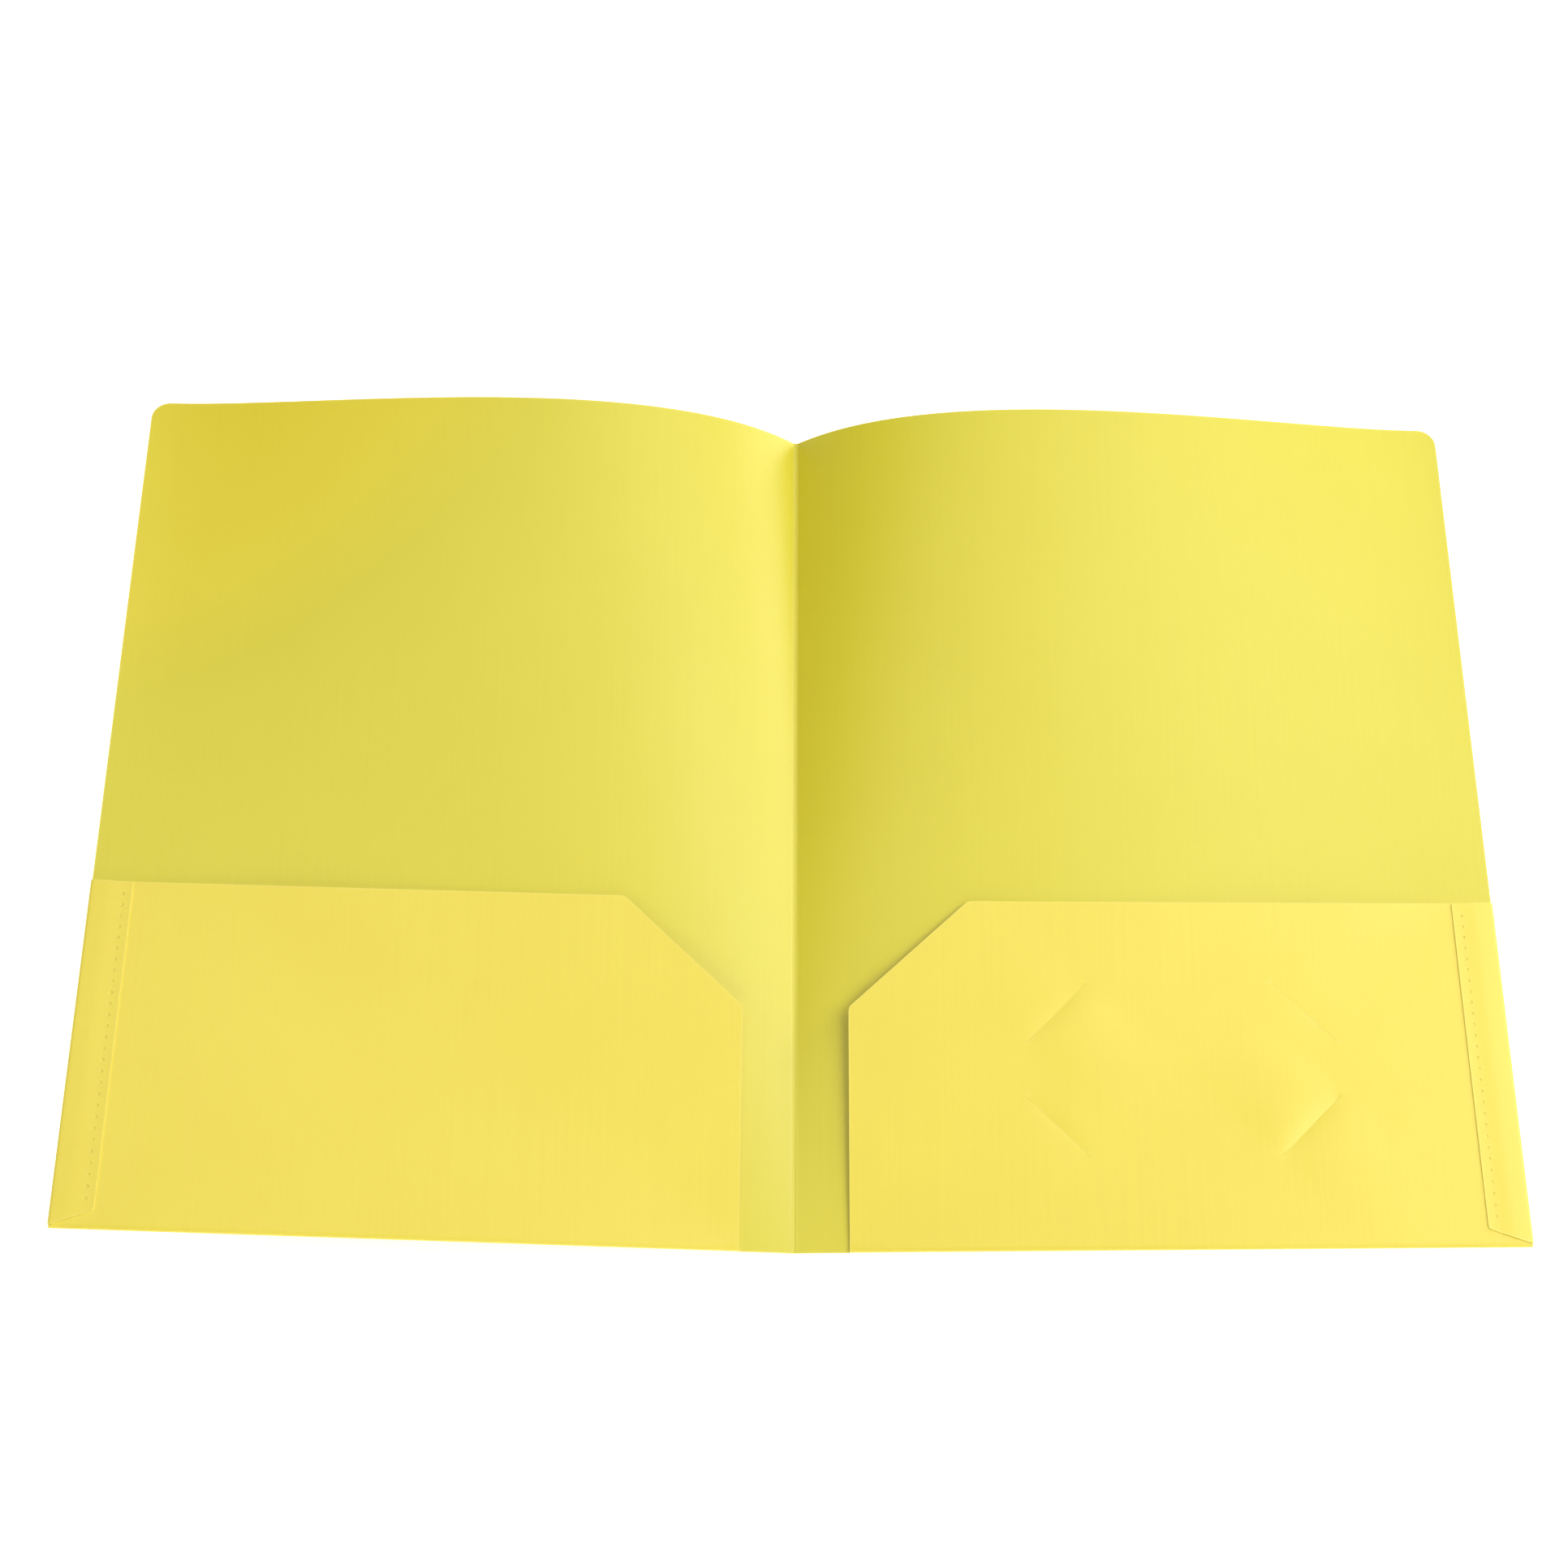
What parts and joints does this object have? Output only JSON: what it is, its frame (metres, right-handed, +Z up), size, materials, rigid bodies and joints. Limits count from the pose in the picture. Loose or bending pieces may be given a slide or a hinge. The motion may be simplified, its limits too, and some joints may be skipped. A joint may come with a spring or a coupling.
{
  "type": "two pocket folder",
  "caption": "Open document folder of yellow plastic sheet with a creased spine, welded pockets inside its covers and slits that hold a card.",
  "frame": {"origin": "middle of the spine crease's underside, on the desk", "axes": "+X from the spine across the back cover, +Y along the spine away from the reader, +Z up off the desk"},
  "size_m": [0.4685, 0.2986, 0.0413],
  "materials": {
    "inside_sheet": "satin polypropylene sheet, inside face, slightly green yellow",
    "outside_sheet": "satin polypropylene sheet, outside face, warm yellow",
    "weld": "melted weld spots in the same sheet"
  },
  "bodies": {
    "back": {"back_cover": "inside_sheet", "spine_crease": "inside_sheet", "back_bottom_crease": "outside_sheet", "back_side_crease": "outside_sheet", "back_pocket": "outside_sheet", "back_side_flap": "outside_sheet", "back_weld_row": "weld"},
    "front": {"front_cover": "inside_sheet", "front_bottom_crease": "outside_sheet", "front_side_crease": "outside_sheet", "front_pocket": "outside_sheet", "front_side_flap": "outside_sheet", "front_weld_row": "weld"},
    "back_lip": {"back_pocket_lip": "outside_sheet"},
    "front_lip": {"front_pocket_lip": "outside_sheet"}
  },
  "joints": [
    {"name": "spine_fold", "type": "hinge", "parent": "back", "child": "front", "pos_m": [0, 0, 0.00045], "axis": [0, 1, 0], "range_deg": [-170, 163], "deforming": ["back_cover", "front_cover"]},
    {"name": "back_lip_bend", "type": "hinge", "parent": "back", "child": "back_lip", "pos_m": [0.018, -0.14755, 0.00095], "axis": [0.8664, 0.4993, 0], "range_deg": [-5.44, 5.68]},
    {"name": "front_lip_bend", "type": "hinge", "parent": "front", "child": "front_lip", "pos_m": [-0.01758, -0.14755, 0.00396], "axis": [0.8541, -0.4993, -0.1455], "range_deg": [-5.44, 5.68]}
  ],
  "couplings": [
    {"joint": "back_lip_bend", "follows": "spine_fold", "ratio": -0.03336},
    {"joint": "front_lip_bend", "follows": "spine_fold", "ratio": -0.03336}
  ]
}
